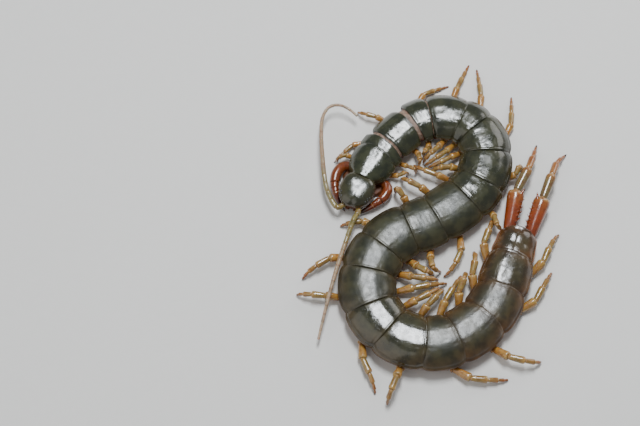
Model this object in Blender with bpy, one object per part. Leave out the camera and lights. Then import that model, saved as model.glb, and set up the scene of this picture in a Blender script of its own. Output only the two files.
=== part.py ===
"""Giant centipede at rest, life size: trunk, head, feelers, forcipules and legs as closed solids."""
import math

import bmesh
import bpy
import numpy as np
from mathutils import Vector

MM = 0.001
UP = Vector((0.0, 0.0, 1.0))

# Midline, front of the head to the last tergite: place and heading of its start
START = (-25.91, 4.98)
START_HEADING = 74.5

# Head, then each length of the trunk: name, lengths of its tergites, and its turn to the left in degrees
HEAD = ("head", (11.0,), -11.0)
TRUNK = (
    ("trunk_01", (9.0,), -9.0),
    ("trunk_02_03", (4.6, 10.2), -18.6),
    ("trunk_04_05", (6.6, 9.8), -57.1),
    ("trunk_06_07", (5.4, 9.6), -67.5),
    ("trunk_08_09", (10.2, 7.4), -49.5),
    ("trunk_10_11", (11.6, 9.0), -22.0),
    ("trunk_12_13", (10.6, 9.0), 54.0),
    ("trunk_14_15", (11.2, 9.4), 64.2),
    ("trunk_16_17", (11.6, 9.4), 64.4),
    ("trunk_18_19", (11.6, 10.4), 47.7),
    ("trunk_20", (12.0,), 1.0),
    ("trunk_21", (8.3,), 1.0),
)

# Half width and height of the trunk at some tergites
HALF_WIDTHS = ((1, 7.2), (3, 7.3), (5, 7.8), (8, 8.3), (10, 8.8), (16, 8.9), (18, 8.6), (20, 7.8), (21, 6.3))
HEIGHTS = ((1, 7.6), (4, 8.3), (9, 9.0), (17, 9.0), (20, 8.2), (21, 7.0))

# Half cross-section as shares of half width and height: the tergite, then the side wall and the belly
PLATE_OUTLINE = (
    (0.0, 1.0), (0.32, 0.985), (0.62, 0.89), (0.85, 0.71), (0.97, 0.56), (1.0, 0.48), (0.91, 0.43),
)
MARGIN_HEIGHT = 0.48
WALL_TOP = (0.80, 0.36)
WALL_FOOT = (0.66, 0.05)
BELLY_EDGE = 0.60
BELLY_CORNER = 0.1

# Along a tergite: place, width and height as shares of its own, and the lift of the belly there
TERGITE_PROFILE = (
    (0.0, 0.90, 0.86, 0.3), (0.14, 0.975, 0.95, 0.0), (0.44, 1.0, 1.0, 0.0),
    (0.86, 0.985, 1.03, 0.0), (1.0, 0.92, 1.04, 0.3),
)
FIRST_PROFILE = (
    (0.0, 0.62, 0.88, 0.3), (0.14, 0.78, 0.96, 0.0), (0.44, 0.94, 1.0, 0.0),
    (0.86, 1.0, 1.03, 0.0), (1.0, 0.93, 1.04, 0.3),
)
LAST_PROFILE = (
    (0.0, 0.93, 0.90, 0.3), (0.14, 0.98, 0.97, 0.0), (0.44, 1.0, 1.0, 0.0),
    (0.86, 0.95, 0.97, 0.0), (1.0, 0.87, 0.84, 0.5),
)
LIMB_STRETCH = (0.44, 0.86)
STEP = 0.2
GAP = 0.3

# Head sections: place from the front, plate half width, top, margin, jaw half width, underside
HEAD_SECTIONS = (
    (0.0, 1.1, 5.6, 5.1, 0.8, 2.9),
    (2.0, 3.9, 6.7, 5.1, 3.6, 2.8),
    (3.4, 4.8, 7.2, 5.0, 3.4, 2.4),
    (5.4, 5.25, 7.6, 4.9, 3.0, 1.2),
    (7.8, 5.3, 7.8, 4.8, 3.0, 0.6),
    (9.8, 4.9, 7.7, 4.8, 3.0, 0.6),
    (10.85, 4.3, 7.4, 4.8, 3.0, 0.6),
)
HEAD_TOP_OUTLINE = ((0.0, 1.0), (0.36, 0.97), (0.68, 0.80), (0.90, 0.45))
RIM = (0.15, 0.2)
SHELF = 0.35
CHIN = (0.75, 0.5)

# Forcipules: stretch of the first tergite that carries them, then place, offset, height and radius to the tip
FANG_STRETCH = (0.14, 0.44)
FANG_ROOT_RADIUS = 1.2
FANG_PATH = (
    (13.0, 7.1, 2.0, 1.5), (11.4, 8.3, 2.3, 1.65), (9.2, 8.5, 2.5, 1.65), (6.7, 7.8, 2.5, 1.45),
    (4.3, 6.4, 2.2, 1.2), (2.3, 4.8, 1.6, 0.85), (0.7, 3.2, 1.3, 0.55), (-0.5, 1.6, 1.1, 0.2),
)

# Feelers: distance ahead of the brow, offset and height of the points that each passes, then its radii
FEELER_HEIGHT = 3.75
FEELER_LEFT = (
    (1.2, 2.4, 4.0), (4.5, 1.8, 4.5), (12.0, 1.5, 5.0), (20.5, 1.2, 5.2), (29.0, 1.2, 5.0),
    (37.0, 1.4, 4.0), (44.0, 1.7, 3.0),
)
FEELER_RIGHT = (
    (1.0, 4.2, 4.0), (-1.6, 7.2, 4.5), (-6.0, 10.0, 5.3), (-13.5, 12.9, 5.8), (-21.0, 15.4, 5.6),
    (-27.0, 16.7, 5.2), (-31.5, 15.9, 4.8), (-33.4, 13.0, 4.6), (-33.0, 9.6, 4.3), (-31.5, 6.4, 4.0),
)
FEELER_RADII = (0.95, 0.42)
FEELER_ARTICLES = 17
FEELER_RINGS = ((0.25, 0.92), (0.9, 1.0))
FEELER_TIP = 0.6

# Walking legs: length and prefemur radius at some tergites
LEG_LENGTHS = ((1, 11.0), (5, 16.0), (10, 18.0), (16, 20.0), (20, 20.5))
LEG_RADII = ((1, 0.80), (5, 1.05), (12, 1.2), (20, 1.3))
ROOT_SHARE = 0.85
# Articles from the coxa to the claw: share of the length, radius at the start and end as shares
ARTICLES = (
    (0.07, 0.85, 0.90), (0.34, 0.92, 1.0), (0.25, 0.84, 0.80), (0.16, 0.64, 0.58),
    (0.10, 0.44, 0.38), (0.05, 0.31, 0.27), (0.03, 0.20, 0.12),
)
HIP_CLEARANCE = 0.4
HIP_SWING = 0.6
KNEE_LIMIT = 8.0
KNEE_START = 0.12
KNEE_END_LIFT = 0.9
BULGE_SPAN = 5.5
ARCH_STEPS = 40
# The arch is kept so low that the leg never folds into itself
KNEE_SPAN_SHARE = 1.41
KNEE_BULGE_SHARE = 0.75
KNEE_TIGHTNESS = 5.4
JOINT_SHARE = 0.12
JOINT_ROOM = 1.1
JOINT_MOST = 0.42
# Pose of each pair, left then right: swing towards the head in degrees, reach, highest arch and sideways lean
LEG_POSES = (
    ((-34, 6.0, 8.0, 3), (37, 6.0, 8.0, -1)),
    ((-10, 6.5, 7.5, -3), (69, 13.0, 7.5, -5)),
    ((22, 5.5, 8.0, 2), (24, 11.0, 7.0, 24)),
    ((36, 5.5, 6.5, -1), (-73, 14.5, 8.0, 4)),
    ((32, 11.0, 6.0, 2), (-14, 17.0, 7.5, -6)),
    ((17, 13.0, 8.0, 16), (37, 17.5, 8.0, 5)),
    ((-6, 12.5, 4.0, 22), (60, 17.5, 8.0, 0)),
    ((-17, 10.0, 5.5, 13), (44, 7.0, 7.5, 13)),
    ((-12, 14.5, 7.5, 28), (-16, 8.0, 7.5, -22)),
    ((-20, 12.5, 6.0, 17), (-54, 15.5, 3.5, 34)),
    ((-11, 8.0, 8.0, 1), (3, 8.5, 7.5, -30)),
    ((-47, 11.5, 1.5, 2), (22, 10.0, 7.0, -19)),
    ((-50, 17.0, 8.0, -17), (18, 14.0, 5.0, -16)),
    ((12, 15.0, 3.0, 4), (5, 18.0, 8.0, -4)),
    ((-63, 18.0, 8.0, 30), (-6, 15.0, 5.0, -18)),
    ((2, 13.5, 8.0, 0), (-19, 14.0, 5.5, -7)),
    ((-65, 18.5, 8.0, -29), (-38, 18.0, 4.0, -9)),
    ((-35, 16.5, 7.5, -29), (-48, 13.5, 8.0, -5)),
    ((-75, 18.5, 7.5, 12), (-60, 14.5, 5.5, -16)),
    ((-71, 18.5, 7.5, 34), (-78, 16.5, 8.0, -9)),
)

# Last pair of legs: root offset and height, articles as length and radius, and each leg's spread in degrees
TAIL_ROOT = (3.3, 3.0)
TAIL_ARTICLES = (
    (13.3, 2.3, 2.6), (8.6, 1.65, 1.55), (5.8, 1.3, 1.1),
    (3.4, 0.85, 0.7), (2.0, 0.55, 0.4), (1.2, 0.3, 0.15),
)
TAIL_ROOT_RADIUS = 1.7
TAIL_JOINTS = (0.14, 0.88)
TAIL_BENDS = {1: (-3.0, -1.0, 1.0, -16.0, -8.0, 0.0), -1: (5.0, -15.0, 7.0, 3.0, 0.0, 0.0)}
TAIL_SLOPES = (8.0, 2.0, -22.0, -28.0, -26.0, -14.0)

# Spines on the inner side of their first article: angle above level and count of each row, start and span
SPINE_ROWS = ((40.0, 5), (8.0, 4))
SPINE_STRETCH = (0.24, 0.62)
# Length, radius and sunk depth of a spine, and its lean towards the foot; then the larger one at the far corner
SPINE = (0.85, 0.4, 0.7, 0.3)
CORNER_SPOT = (0.9, 38.0)
CORNER_SPINE = (1.9, 0.6, 0.8, 2.0)
# Share of the article's radius where spines stand, and their tip's share of their own radius
SPINE_STAND = 0.93
SPINE_TIP = 0.2

# Sides of the rings of each kind of limb, steps between two given points of a path, and halvings in a search
LEG_SIDES = 6
FEELER_SIDES = 6
FANG_SIDES = 8
TAIL_SIDES = 8
SPINE_SIDES = 5
PATH_STEPS = 12
HALVINGS = 20
SHARP_ANGLE = 40.0

# Colour and roughness of each kind of part
COLOURS = {
    "tergite": ((0.035, 0.040, 0.028, 1.0), 0.28),
    "head": ((0.045, 0.048, 0.032, 1.0), 0.30),
    "forcipule": ((0.36, 0.095, 0.025, 1.0), 0.25),
    "antenna": ((0.36, 0.27, 0.17, 1.0), 0.50),
    "leg": ((0.46, 0.21, 0.06, 1.0), 0.30),
    "ultimate_leg": ((0.30, 0.075, 0.03, 1.0), 0.28),
}


def table(rows, x):
    """Value at x, read from pairs of a short table."""
    return float(np.interp(x, [row[0] for row in rows], [row[1] for row in rows]))


def midline(s):
    """Point and heading of the midline at a distance behind the front of the head."""
    x, y = START
    heading = math.radians(START_HEADING)
    rest = max(s, 0.0)
    for _, lengths, turn in (HEAD,) + TRUNK:
        total = sum(lengths)
        run = min(rest, total)
        bend = math.radians(turn) / total
        x += (math.sin(heading + bend * run) - math.sin(heading)) / bend
        y -= (math.cos(heading + bend * run) - math.cos(heading)) / bend
        heading += bend * run
        rest -= run
    straight = rest if s > 0 else s
    return x + straight * math.cos(heading), y + straight * math.sin(heading), heading


def spot(s, offset, z):
    """Point beside the midline: offset is to the animal's left, z is up, both in millimetres."""
    x, y, heading = midline(s)
    return Vector((x + offset * math.sin(heading), y - offset * math.cos(heading), z))


def backward(s):
    """Direction from head to tail."""
    heading = midline(s)[2]
    return Vector((math.cos(heading), math.sin(heading), 0.0))


def outward(s, side):
    """Level direction away from the midline, on the left (side 1) or the right (side -1)."""
    heading = midline(s)[2]
    return Vector((math.sin(heading), -math.cos(heading), 0.0)) * side


def material(name):
    """Material of a kind of part, made once."""
    found = bpy.data.materials.get(name)
    if found:
        return found
    colour, roughness = COLOURS[name]
    made = bpy.data.materials.new(name)
    made.use_nodes = True
    shader = made.node_tree.nodes["Principled BSDF"]
    shader.inputs["Base Color"].default_value = colour
    shader.inputs["Roughness"].default_value = roughness
    shader.inputs["Metallic"].default_value = 0.0
    made.diffuse_color = colour
    return made


def shade(mesh):
    """Smooth shading, apart from the sharp edges."""
    mesh.shade_smooth()
    mesh.set_sharp_from_angle(angle=math.radians(SHARP_ANGLE))


def loft(name, rings, kind):
    """Closed body through rings of points in millimetres, flat at both ends, never below the floor."""
    mesh = bmesh.new()
    rows = [[mesh.verts.new((p.x * MM, p.y * MM, max(p.z, 0.0) * MM)) for p in ring] for ring in rings]
    for row, following in zip(rows, rows[1:]):
        for i, corner in enumerate(row):
            j = (i + 1) % len(row)
            mesh.faces.new((corner, row[j], following[j], following[i]))
    mesh.faces.new(rows[0][::-1])
    mesh.faces.new(rows[-1])
    bmesh.ops.recalc_face_normals(mesh, faces=mesh.faces)
    data = bpy.data.meshes.new(name)
    mesh.to_mesh(data)
    mesh.free()
    shade(data)
    data.materials.append(material(kind))
    body = bpy.data.objects.new(name, data)
    bpy.context.scene.collection.objects.link(body)
    return body


def mirrored(s, half):
    """Whole ring at s from its half outline of offsets and heights, top to bottom."""
    right = [spot(s, -x, z) for x, z in half]
    left = [spot(s, x, z) for x, z in half[::-1] if x > 0]
    return right + left


def size_at(s, starts):
    """Half width and height of the trunk at s."""
    place = float(np.interp(s, starts, range(len(starts)))) + 0.5
    return table(HALF_WIDTHS, place), table(HEIGHTS, place)


def trunk_section(s, size, shares, shift):
    """Ring of the trunk at s, moved back by shift: raised tergite, side walls and flat belly."""
    width, height = size
    width_share, height_share, lift = shares
    half = []
    for across, up in PLATE_OUTLINE:
        raised = MARGIN_HEIGHT + (up - MARGIN_HEIGHT) * height_share
        half.append((across * width * width_share, raised * height))
    half.append((WALL_TOP[0] * width, WALL_TOP[1] * height))
    half.append((WALL_FOOT[0] * width, max(WALL_FOOT[1] * height, lift + BELLY_CORNER)))
    half.append((BELLY_EDGE * width, lift))
    return [point + backward(s) * shift for point in mirrored(s, half)]


def wall(number, side, starts, stretch):
    """Middle of the flat stretch of side wall that carries a limb of a tergite, and its outward normal."""
    front = starts[number - 1]
    length = starts[number] - front
    corners = []
    for place in stretch:
        s = front + place * length
        width, height = size_at(s, starts)
        for across, up in (WALL_TOP, WALL_FOOT):
            corners.append(spot(s, side * across * width, up * height))
    normal = (corners[3] - corners[0]).cross(corners[2] - corners[1]).normalized()
    if normal.dot(outward(front, side)) < 0:
        normal = -normal
    return sum(corners, Vector()) / 4, normal


def make_trunk():
    """Lengths of the trunk, and the places where the tergites start."""
    starts = [HEAD[1][0]]
    for _, lengths, _ in TRUNK:
        for length in lengths:
            starts.append(starts[-1] + length)
    number = 0
    for name, lengths, _ in TRUNK:
        rings = []
        for k, length in enumerate(lengths):
            profile = TERGITE_PROFILE
            if number == 0:
                profile = FIRST_PROFILE
            if number == len(starts) - 2:
                profile = LAST_PROFILE
            front_gap = GAP if k == 0 else STEP
            rear_gap = GAP if k == len(lengths) - 1 else STEP
            for place, *shares in profile:
                s = starts[number] + place * length
                shift = {0.0: front_gap / 2, 1.0: -rear_gap / 2}.get(place, 0.0)
                rings.append(trunk_section(s, size_at(s, starts), shares, shift))
            number += 1
        loft(name, rings, "tergite")
    return starts


def make_head():
    """Head: domed cephalic plate over the mouthparts, with a facet at each side of the brow for a feeler."""
    rings = []
    for s, width, top, margin, jaw, under in HEAD_SECTIONS:
        half = [(across * width, margin + up * (top - margin)) for across, up in HEAD_TOP_OUTLINE]
        half.append((width, margin))
        half.append((width - RIM[0], margin - RIM[1]))
        half.append((jaw, margin - SHELF))
        half.append((jaw, under + CHIN[1]))
        half.append((jaw * CHIN[0], under))
        rings.append(mirrored(s, half))
    loft("head", rings, "head")


def circle_rings(points, radii, sides, first_normal=None):
    """Rings of a round limb square to its path, turned as little as possible from one to the next."""
    rings = []
    across = None
    for i, (point, radius) in enumerate(zip(points, radii)):
        before = points[max(i - 1, 0)]
        after = points[min(i + 1, len(points) - 1)]
        along = (after - before).normalized()
        if i == 0 and first_normal:
            along = first_normal
        if across is None:
            across = along.cross(UP)
        across = (across - along * across.dot(along)).normalized()
        over = across.cross(along)
        turns = [2 * math.pi * (j + 0.5) / sides for j in range(sides)]
        rings.append([point + (across * math.cos(a) + over * math.sin(a)) * radius for a in turns])
    return rings


def spread_along(path, shares):
    """Points at shares of the length of a row of points."""
    reach = np.concatenate(([0.0], np.cumsum([(q - p).length for p, q in zip(path, path[1:])])))
    axes = [np.interp(np.array(shares) * reach[-1], reach, [p[axis] for p in path]) for axis in range(3)]
    return [Vector(point) for point in zip(*axes)]


def smooth_path(points, count):
    """Points evenly spread along a smooth curve through the given ones."""
    fine = []
    ends = [points[0] * 2 - points[1]] + list(points) + [points[-1] * 2 - points[-2]]
    for a, b, c, d in zip(ends, ends[1:], ends[2:], ends[3:]):
        for k in range(PATH_STEPS):
            t = k / PATH_STEPS
            fine.append(0.5 * (2 * b + (c - a) * t + (2 * a - 5 * b + 4 * c - d) * t * t
                               + (3 * b - a - 3 * c + d) * t ** 3))
    fine.append(points[-1])
    return spread_along(fine, np.linspace(0.0, 1.0, count))


def make_forcipule(name, side, starts):
    """Curved fang: from the wall of the first tergite forward round the head to a tip under its brow."""
    root, normal = wall(1, side, starts, FANG_STRETCH)
    points = [root + normal * GAP]
    points += [spot(s, side * offset, z) for s, offset, z, _ in FANG_PATH]
    radii = [FANG_ROOT_RADIUS] + [row[3] for row in FANG_PATH]
    loft(name, circle_rings(points, radii, FANG_SIDES, normal), "forcipule")


def make_feeler(name, side, path):
    """Jointed feeler from the facet at one side of the brow."""
    inner, outer = [spot(row[0], side * row[4], FEELER_HEIGHT) for row in HEAD_SECTIONS[:2]]
    normal = (outer - inner).cross(UP * side).normalized()
    root = (inner + outer) / 2 + normal * GAP
    brow = Vector((*START, 0.0))
    points = [root]
    for ahead, offset, z in path:
        points.append(brow - backward(0.0) * ahead + outward(0.0, side) * offset + UP * z)
    joints = smooth_path(points, FEELER_ARTICLES + 1)
    rings = [joints[0]]
    radii = [FEELER_RADII[0]]
    for k, (near, far) in enumerate(zip(joints, joints[1:])):
        radius = FEELER_RADII[0] + (FEELER_RADII[1] - FEELER_RADII[0]) * (k + 1) / FEELER_ARTICLES
        for place, share in FEELER_RINGS:
            rings.append(near.lerp(far, place))
            radii.append(radius * share)
    rings.append(joints[-1])
    radii.append(FEELER_RADII[1] * FEELER_TIP)
    loft(name, circle_rings(rings, radii, FEELER_SIDES, normal), "antenna")


def leg_curve(hip, start, foot, bulge, rise):
    """Points of the arch from a leg's hip to its foot, drawn up by rise and bulging beyond the foot."""
    span = foot - hip
    first = hip + start * (KNEE_START * span.length) + rise
    second = foot + span.normalized() * bulge + rise * KNEE_END_LIFT
    curve = []
    for k in range(ARCH_STEPS + 1):
        t = k / ARCH_STEPS
        u = 1 - t
        curve.append(hip * u ** 3 + first * 3 * u * u * t + second * 3 * u * t * t + foot * t ** 3)
    return curve


def curve_length(curve):
    """Length of a row of points."""
    return sum((b - a).length for a, b in zip(curve, curve[1:]))


def leg_arch(hip, start, foot, bulge, length, highest, lean):
    """The arch, leaning sideways, whose length is the leg's, or the highest one allowed."""
    up = UP + UP.cross(foot - hip).normalized() * math.tan(math.radians(lean))
    low, high = 0.0, highest
    for _ in range(HALVINGS):
        middle = (low + high) / 2
        if curve_length(leg_curve(hip, start, foot, bulge, up * middle)) < length:
            low = middle
        else:
            high = middle
    return leg_curve(hip, start, foot, bulge, up * high)


def swung(s, side, swing):
    """Level direction turned from straight outward towards the head."""
    turn = math.radians(swing)
    return outward(s, side) * math.cos(turn) - backward(s) * math.sin(turn)


def make_leg(name, number, side, starts, pose):
    """Walking leg of one tergite: an arch of tapering articles that stands on the floor."""
    swing, reach, highest, lean = pose
    s = starts[number - 1] + sum(LIMB_STRETCH) / 2 * (starts[number] - starts[number - 1])
    on_wall, normal = wall(number, side, starts, LIMB_STRETCH)
    root = on_wall + normal * GAP
    radius = table(LEG_RADII, number)
    foot = root + swung(s, side, swing) * reach
    foot.z = radius * ARTICLES[-1][2]
    start = swung(s, side, swing * HIP_SWING)
    margin = size_at(s, starts)[0] * (1 - (WALL_TOP[0] + WALL_FOOT[0]) / 2)
    hip = root + start * ((margin + radius + HIP_CLEARANCE) / math.cos(math.radians(swing * HIP_SWING)))
    span = (foot - hip).length
    bulge = max(0.0, BULGE_SPAN - span) * highest / KNEE_LIMIT
    room = (KNEE_SPAN_SHARE * span + KNEE_BULGE_SHARE * bulge) ** 2 / (KNEE_TIGHTNESS * radius)
    length = table(LEG_LENGTHS, number) - (hip - root).length
    curve = [root] + leg_arch(hip, start, foot, bulge, length, min(highest, room), lean)
    ends = np.concatenate(([0.0], np.cumsum([row[0] for row in ARTICLES])))
    joints = spread_along(curve, ends / ends[-1])
    steps = [q - p for p, q in zip(joints, joints[1:])]
    bends = [p.angle(q) for p, q in zip(steps, steps[1:])]
    points = [root]
    radii = [radius * ROOT_SHARE]
    for k, (near, far) in enumerate(zip(joints, joints[1:])):
        _, near_share, far_share = ARTICLES[k]
        length = (far - near).length
        if k > 0:
            cut = max(JOINT_SHARE, radius * near_share * math.tan(bends[k - 1] / 2) * JOINT_ROOM / length)
            points.append(near.lerp(far, min(cut, JOINT_MOST)))
            radii.append(radius * near_share)
        cut = 0.0
        if k < len(ARTICLES) - 1:
            cut = max(JOINT_SHARE, radius * far_share * math.tan(bends[k] / 2) * JOINT_ROOM / length)
        points.append(near.lerp(far, 1 - min(cut, JOINT_MOST)))
        radii.append(radius * far_share)
    loft(name, circle_rings(points, radii, LEG_SIDES, normal), "leg")


def make_spine(base, away, length, radius, sunk):
    """Small cone that stands at base with its root sunk in."""
    rings = [base - away * sunk, base, base + away * length]
    radii = [radius, radius, radius * SPINE_TIP]
    return loft("spine", circle_rings(rings, radii, SPINE_SIDES), "ultimate_leg")


def make_spines(side, end, near, far):
    """Spines of the article from near to far: rows along its inner side and a large one at its far corner."""
    plan = [(*CORNER_SPOT, CORNER_SPINE)]
    for row, (angle, count) in enumerate(SPINE_ROWS):
        for i in range(count):
            place = SPINE_STRETCH[0] + SPINE_STRETCH[1] * (i + 0.5 * (row % 2)) / count
            plan.append((place, angle, SPINE))
    along = (far - near).normalized()
    inner = outward(end, -side)
    inner = (inner - along * inner.dot(along)).normalized()
    over = (UP - along * along.z).normalized()
    _, near_radius, far_radius = TAIL_ARTICLES[0]
    spines = []
    for place, angle, (length, radius, sunk, lean) in plan:
        turn = math.radians(angle)
        away = inner * math.cos(turn) + over * math.sin(turn)
        stand = (near_radius + (far_radius - near_radius) * place) * SPINE_STAND
        base = near.lerp(far, place) + away * stand
        spines.append(make_spine(base, (away + along * lean).normalized(), length, radius, sunk))
    return spines


def keep_largest(mesh):
    """Remove all but the largest closed surface of a mesh."""
    work = bmesh.new()
    work.from_mesh(mesh)
    left = set(work.faces)
    largest = set()
    while left:
        island = set()
        reached = {left.pop()}
        while reached:
            face = reached.pop()
            island.add(face)
            left.discard(face)
            for edge in face.edges:
                reached.update(other for other in edge.link_faces if other in left)
        if len(island) > len(largest):
            largest = island
    bmesh.ops.delete(work, geom=[face for face in work.faces if face not in largest], context="FACES")
    work.to_mesh(mesh)
    work.free()


def fuse(body, pieces):
    """Join closed pieces to a body, as one closed mesh, and remove the pieces."""
    group = bpy.data.collections.new(body.name + "_pieces")
    bpy.context.scene.collection.children.link(group)
    for piece in pieces:
        bpy.context.scene.collection.objects.unlink(piece)
        group.objects.link(piece)
    union = body.modifiers.new("spines", "BOOLEAN")
    union.operation = "UNION"
    union.operand_type = "COLLECTION"
    union.collection = group
    bpy.context.view_layer.update()
    found = body.evaluated_get(bpy.context.evaluated_depsgraph_get())
    body.data = bpy.data.meshes.new_from_object(found)
    body.modifiers.clear()
    for piece in pieces:
        bpy.data.objects.remove(piece)
    bpy.data.collections.remove(group)
    keep_largest(body.data)
    shade(body.data)


def make_tail_leg(name, side, end):
    """Leg of the last pair: stout, trailing straight behind the last tergite."""
    point = spot(end + GAP / 2, side * TAIL_ROOT[0], TAIL_ROOT[1])
    normal = backward(end)
    heading = midline(end)[2]
    joints = [point]
    points = [point]
    radii = [TAIL_ROOT_RADIUS]
    for (length, near_radius, far_radius), bend, slope in zip(TAIL_ARTICLES, TAIL_BENDS[side], TAIL_SLOPES):
        heading += math.radians(bend)
        along = Vector((math.cos(heading), math.sin(heading), math.tan(math.radians(slope))))
        far = point + along.normalized() * length
        points += [point.lerp(far, place) for place in TAIL_JOINTS]
        radii += [near_radius, far_radius]
        point = far
        joints.append(far)
    body = loft(name, circle_rings(points, radii, TAIL_SIDES, normal), "ultimate_leg")
    fuse(body, make_spines(side, end, joints[0], joints[1]))


def main():
    """Build the whole animal in an empty scene."""
    for item in list(bpy.data.objects):
        bpy.data.objects.remove(item)
    starts = make_trunk()
    make_head()
    make_feeler("antenna_left", 1, FEELER_LEFT)
    make_feeler("antenna_right", -1, FEELER_RIGHT)
    make_forcipule("forcipule_left", 1, starts)
    make_forcipule("forcipule_right", -1, starts)
    for number, poses in enumerate(LEG_POSES, 1):
        for side, word, pose in ((1, "left", poses[0]), (-1, "right", poses[1])):
            make_leg(f"leg_{number:02d}_{word}", number, side, starts, pose)
    make_tail_leg("ultimate_leg_left", 1, starts[-1])
    make_tail_leg("ultimate_leg_right", -1, starts[-1])


main()
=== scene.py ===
"""Looks of the giant centipede: shell plates, soft skin and jointed limbs on a plain pale floor."""

import math

import bpy
import numpy as np
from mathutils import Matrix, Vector


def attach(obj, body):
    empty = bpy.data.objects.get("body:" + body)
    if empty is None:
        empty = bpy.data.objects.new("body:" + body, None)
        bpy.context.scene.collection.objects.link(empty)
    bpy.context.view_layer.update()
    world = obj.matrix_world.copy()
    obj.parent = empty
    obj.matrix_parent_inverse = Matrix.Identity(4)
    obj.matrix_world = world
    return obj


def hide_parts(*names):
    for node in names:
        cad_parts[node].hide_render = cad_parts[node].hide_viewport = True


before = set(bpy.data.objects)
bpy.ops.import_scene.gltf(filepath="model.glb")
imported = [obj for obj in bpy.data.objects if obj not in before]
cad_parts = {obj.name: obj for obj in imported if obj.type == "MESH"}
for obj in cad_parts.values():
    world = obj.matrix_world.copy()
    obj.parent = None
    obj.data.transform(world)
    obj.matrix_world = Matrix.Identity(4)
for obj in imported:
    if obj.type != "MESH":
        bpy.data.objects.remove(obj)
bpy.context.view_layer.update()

MM = 0.001
UP = np.array((0.0, 0.0, 1.0))
SIDES = {1: "left", -1: "right"}

# Midline and sizes of the body, in millimetres and degrees as in the part
START = (-25.91, 4.98)
START_HEADING = 74.5
HEAD_LENGTH = 11
TRUNK = (
    ("trunk_01", (9,), -9), ("trunk_02_03", (4.6, 10.2), -18.6),
    ("trunk_04_05", (6.6, 9.8), -57.1), ("trunk_06_07", (5.4, 9.6), -67.5),
    ("trunk_08_09", (10.2, 7.4), -49.5), ("trunk_10_11", (11.6, 9), -22),
    ("trunk_12_13", (10.6, 9), 54), ("trunk_14_15", (11.2, 9.4), 64.2),
    ("trunk_16_17", (11.6, 9.4), 64.4), ("trunk_18_19", (11.6, 10.4), 47.7),
    ("trunk_20", (12,), 1), ("trunk_21", (8.3,), 1),
)
HEAD_TURN = -11
HALF_WIDTHS = ((1, 7.2), (3, 7.3), (5, 7.8), (8, 8.3), (10, 8.8), (16, 8.9), (18, 8.6), (20, 7.8), (21, 6.3))
HEIGHTS = ((1, 7.6), (4, 8.3), (9, 9), (17, 9), (20, 8.2), (21, 7))
PLATE_OUTLINE = (
    (0, 1), (0.32, 0.985), (0.62, 0.89), (0.85, 0.71), (0.97, 0.56), (1, 0.48), (0.91, 0.43),
)
MARGIN_HEIGHT = 0.48
WALL_TOP = (0.8, 0.36)
WALL_FOOT = (0.66, 0.05)
LIMB_STRETCH = (0.44, 0.86)
FANG_STRETCH = (0.14, 0.44)
GAP = 0.3

# Along a tergite: place, width and height as shares of its own
TERGITE_PROFILE = (
    (0, 0.9, 0.89), (0.14, 0.975, 0.96), (0.44, 1, 1), (0.86, 0.985, 1.03), (1, 0.94, 1.04),
)
END_PROFILES = {
    1: ((0, 0.64, 0.95), (0.14, 0.79, 0.98), (0.44, 0.95, 1), (0.86, 1, 1.03), (1, 0.95, 1.04)),
    21: ((0, 0.93, 0.9), (0.14, 0.98, 0.97), (0.44, 1, 1), (0.86, 0.95, 0.97), (1, 0.87, 0.86)),
}
# The skin under a tergite, on the same terms
SKIN_PROFILE = (
    (0, 0.85, 0.8), (0.14, 0.95, 0.92), (0.44, 0.985, 0.97), (0.8, 0.97, 0.98), (1, 0.85, 0.8),
)
END_SKINS = {
    1: ((0, 0.58, 0.8), (0.14, 0.74, 0.92), (0.44, 0.92, 0.97), (0.8, 0.97, 0.98), (1, 0.85, 0.8)),
    21: ((0, 0.85, 0.8), (0.14, 0.95, 0.92), (0.44, 0.98, 0.95), (0.86, 0.9, 0.86), (1, 0.7, 0.62)),
}
SKIN_OUTLINE = (
    (0, 0.955), (0.32, 0.94), (0.6, 0.845), (0.8, 0.68), (0.89, 0.53), (0.87, 0.45), (0.79, 0.41),
    (0.77, 0.34), (0.8, 0.27), (0.73, 0.21), (0.75, 0.14), (0.67, 0.07), (0.6, 0.03), (0.4, 0.028),
    (0, 0.028),
)
# Half width and height by which outlines are spaced
OUTLINE_SIZE = (8.8, 9)
# Width of the pale membrane behind some tergites
OPEN_JOINTS = {2: 1.5, 3: 2.1, 4: 0.8}
# The same where tergites overlap, as a negative width: at neck and tail, and elsewhere
END_JOINTS = {0: -1.1, 21: 0}
FRONT_JOINT = -0.2
REAR_JOINT = -1.1
LONG_PLATE = 8.5
PLATE_THICKNESS = 0.26
# Tergites whose surface is dry
DULL_TERGITES = (10, 11, 12, 13, 14, 17, 18, 19)
# How brown the tergites are, from olive at 0
TONES = ((1, 0), (12, 0.12), (17, 0.25), (18, 0.4), (19, 0.5), (20, 0.55), (21, 0.88))
# Spiracles: their tergites, and the radius and lift of each ring
SPIRACLE_TERGITES = (3, 5, 8, 10, 12, 14, 16, 18, 20)
SPIRACLE_RINGS = ((1.15, -0.3), (1.1, 0.12), (0.95, 0.26), (0.75, 0.22), (0.5, -0.05), (0.1, -0.3))

LEG_LENGTHS = ((1, 11), (5, 16), (10, 18), (16, 20), (20, 20.5))
LEG_RADII = ((1, 0.8), (5, 1.05), (12, 1.2), (20, 1.3))
# Articles of a leg from the root: length, and radius at each end
ARTICLES = (
    (0.07, 0.85, 0.9), (0.34, 0.92, 1), (0.25, 0.84, 0.8), (0.16, 0.64, 0.58),
    (0.1, 0.44, 0.38), (0.05, 0.31, 0.27), (0.03, 0.2, 0.12),
)
SPUR_ARTICLES = (2, 3, 4)
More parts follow.
